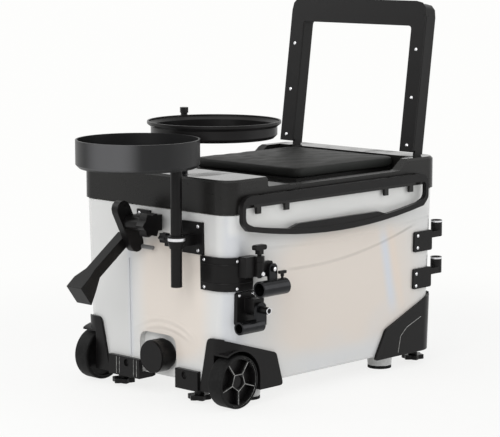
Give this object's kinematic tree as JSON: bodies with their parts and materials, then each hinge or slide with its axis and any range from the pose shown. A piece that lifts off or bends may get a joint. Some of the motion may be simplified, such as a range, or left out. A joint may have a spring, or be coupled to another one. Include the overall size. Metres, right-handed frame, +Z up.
{
  "type": "fishing seat box",
  "caption": "Insulated seat box with a hinged black lid, seat pad, folding backrest, pull handle, trays, rod rests and wheels",
  "frame": {"origin": "on the floor, under the middle of the whole outline", "axes": "X runs along the long side from the wheeled end with the trays to the end with the backrest, Y runs from the side with the pull handle to the hinge side, Z is up"},
  "size_m": [0.8346, 0.4486, 0.6985],
  "materials": {
    "white_shell": "glossy pearl white moulded plastic",
    "liner_plastic": "smooth off-white liner plastic",
    "insulation": "rigid pale foam, hidden between the walls",
    "lid_plastic": "dark grey satin plastic",
    "black_plastic": "black satin plastic",
    "pad_foam": "dark embossed foam skin",
    "rubber_seal": "black rubber",
    "tyre_rubber": "solid black tyre",
    "anodised_tube": "dark anodised tube",
    "bright_steel": "bright plated steel"
  },
  "bodies": {
    "box": {"outer_shell": "white_shell", "insulation_foam": "insulation", "inner_liner": "liner_plastic", "foot_pad_left_near": "rubber_seal", "foot_pad_left_far": "rubber_seal", "foot_pad_right_near": "rubber_seal", "foot_pad_right_far": "rubber_seal", "wheel_cover_near": "black_plastic", "wheel_cover_far": "black_plastic", "corner_guard_near": "black_plastic", "corner_guard_far": "black_plastic", "leg_socket_near": "black_plastic", "leg_socket_far": "black_plastic", "wheel_axle": "bright_steel", "drain_spigot": "black_plastic", "drain_gasket": "rubber_seal", "tray_bracket": "black_plastic", "corner_bracket": "black_plastic", "lower_rest_plate": "black_plastic", "pole_clip_upper": "black_plastic", "pole_clip_lower": "black_plastic", "cradle_bracket": "black_plastic", "hinge_leaf_body": "bright_steel", "hinge_pin": "bright_steel"},
    "lid": {"lid_shell": "lid_plastic", "lid_liner": "liner_plastic", "lid_gasket": "rubber_seal", "seat_pad": "pad_foam", "hinge_leaf_lid": "bright_steel", "handle_rail": "lid_plastic", "handle_rod": "bright_steel", "backrest_rod": "bright_steel", "upper_tray_post": "anodised_tube"},
    "handle": {"carry_handle": "black_plastic"},
    "backrest": {"backrest_frame": "black_plastic", "backrest_facing": "black_plastic"},
    "side_tray": {"upper_tray": "black_plastic"},
    "side_tray_knob": {"upper_tray_knob": "black_plastic"},
    "post": {"tray_post": "anodised_tube"},
    "end_tray": {"lower_tray": "black_plastic"},
    "post_knob": {"post_clamp_knob": "black_plastic"},
    "cap": {"drain_cap": "black_plastic"},
    "wheel_near": {"tyre_near": "tyre_rubber", "hub_near": "black_plastic"},
    "wheel_far": {"tyre_far": "tyre_rubber", "hub_far": "black_plastic"},
    "yoke": {"upper_rest_yoke": "black_plastic"},
    "upper_tube": {"upper_rod_tube": "anodised_tube"},
    "t_knob": {"upper_t_knob": "black_plastic"},
    "wing_screw": {"upper_wing_screw": "black_plastic"},
    "lower_tube": {"lower_rod_tube": "anodised_tube"},
    "clamp_pin": {"lower_clamp_pin": "black_plastic"},
    "cradle": {"cradle_head": "black_plastic", "cradle_arm": "black_plastic"},
    "cradle_nut": {"cradle_knob": "black_plastic"},
    "pin": {"index_pin": "bright_steel"},
    "level_left_near": {"levelling_foot_left_near": "black_plastic"},
    "level_left_far": {"levelling_foot_left_far": "black_plastic"},
    "level_right_near": {"levelling_foot_right_near": "black_plastic"},
    "level_right_far": {"levelling_foot_right_far": "black_plastic"}
  },
  "joints": [
    {"name": "lid_open", "type": "hinge", "parent": "box", "child": "lid", "pos_m": [0.11041, 0.21875, 0.3445], "axis": [-1, 0, 0], "range_deg": [0, 95]},
    {"name": "handle_swing", "type": "hinge", "parent": "lid", "child": "handle", "pos_m": [0.09641, -0.18375, 0.3692], "axis": [-1, 0, 0], "range_deg": [0, 100]},
    {"name": "backrest_fold", "type": "hinge", "parent": "lid", "child": "backrest", "pos_m": [0.35641, 0.01925, 0.396], "axis": [0, -1, 0], "range_deg": [0, 90]},
    {"name": "side_tray_swivel", "type": "hinge", "parent": "lid", "child": "side_tray", "pos_m": [-0.03759, 0.07775, 0.475], "axis": [0, 0, 1], "range_deg": [0, 150]},
    {"name": "side_tray_knob_turn", "type": "hinge", "parent": "lid", "child": "side_tray_knob", "pos_m": [-0.03759, 0.07775, 0.5], "axis": [0, 0, 1], "range_deg": [0, 360]},
    {"name": "tray_post_lift", "type": "slide", "parent": "box", "child": "post", "axis": [0, 0, 1], "range_m": [0, 0.06]},
    {"name": "end_tray_swivel", "type": "hinge", "parent": "post", "child": "end_tray", "pos_m": [-0.21659, -0.08675, 0.428], "axis": [0, 0, 1], "range_deg": [-15, 40]},
    {"name": "post_knob_turn", "type": "hinge", "parent": "box", "child": "post_knob", "pos_m": [-0.21659, -0.06075, 0.3], "axis": [0, 1, 0], "range_deg": [0, 360]},
    {"name": "drain_cap_turn", "type": "hinge", "parent": "box", "child": "cap", "pos_m": [-0.17959, 0.00225, 0.076], "axis": [1, 0, 0], "range_deg": [0, 540]},
    {"name": "wheel_spin_near", "type": "hinge", "parent": "box", "child": "wheel_near", "pos_m": [-0.14759, -0.15675, 0.0485], "axis": [0, 1, 0], "continuous": true},
    {"name": "wheel_spin_far", "type": "hinge", "parent": "box", "child": "wheel_far", "pos_m": [-0.14759, 0.19525, 0.0485], "axis": [0, 1, 0], "continuous": true},
    {"name": "upper_rest_swivel", "type": "hinge", "parent": "box", "child": "yoke", "pos_m": [-0.12059, -0.19475, 0.252], "axis": [0, 0, -1], "range_deg": [0, 60]},
    {"name": "upper_rest_tilt", "type": "hinge", "parent": "yoke", "child": "upper_tube", "pos_m": [-0.09759, -0.20375, 0.248], "axis": [0, -1, 0], "range_deg": [0, 8]},
    {"name": "t_knob_turn", "type": "hinge", "parent": "box", "child": "t_knob", "pos_m": [-0.12059, -0.19475, 0.275], "axis": [0, 0, 1], "range_deg": [0, 360]},
    {"name": "wing_screw_turn", "type": "hinge", "parent": "upper_tube", "child": "wing_screw", "pos_m": [-0.07859, -0.20975, 0.236], "axis": [0, 0, 1], "range_deg": [0, 360]},
    {"name": "lower_rest_tilt", "type": "hinge", "parent": "box", "child": "lower_tube", "pos_m": [-0.12159, -0.19775, 0.178], "axis": [0, -1, 0], "range_deg": [-20, 70]},
    {"name": "clamp_pin_turn", "type": "hinge", "parent": "box", "child": "clamp_pin", "pos_m": [-0.12159, -0.20975, 0.178], "axis": [0, 1, 0], "range_deg": [0, 360]},
    {"name": "cradle_tilt", "type": "hinge", "parent": "box", "child": "cradle", "pos_m": [-0.21959, 0.03925, 0.319], "axis": [0, 1, 0], "range_deg": [0, 50]},
    {"name": "cradle_knob_turn", "type": "hinge", "parent": "box", "child": "cradle_nut", "pos_m": [-0.21959, -0.01875, 0.319], "axis": [0, 1, 0], "range_deg": [0, 360]},
    {"name": "index_pin_pull", "type": "slide", "parent": "cradle", "child": "pin", "axis": [0, -1, 0], "range_m": [0, 0.006], "stiffness_N_per_m": 900},
    {"name": "level_left_near_screw", "type": "slide", "parent": "box", "child": "level_left_near", "axis": [0, 0, -1], "range_m": [0, 0.02]},
    {"name": "level_left_far_screw", "type": "slide", "parent": "box", "child": "level_left_far", "axis": [0, 0, -1], "range_m": [0, 0.02]},
    {"name": "level_right_near_screw", "type": "slide", "parent": "box", "child": "level_right_near", "axis": [0, 0, -1], "range_m": [0, 0.02]},
    {"name": "level_right_far_screw", "type": "slide", "parent": "box", "child": "level_right_far", "axis": [0, 0, -1], "range_m": [0, 0.02]}
  ]
}
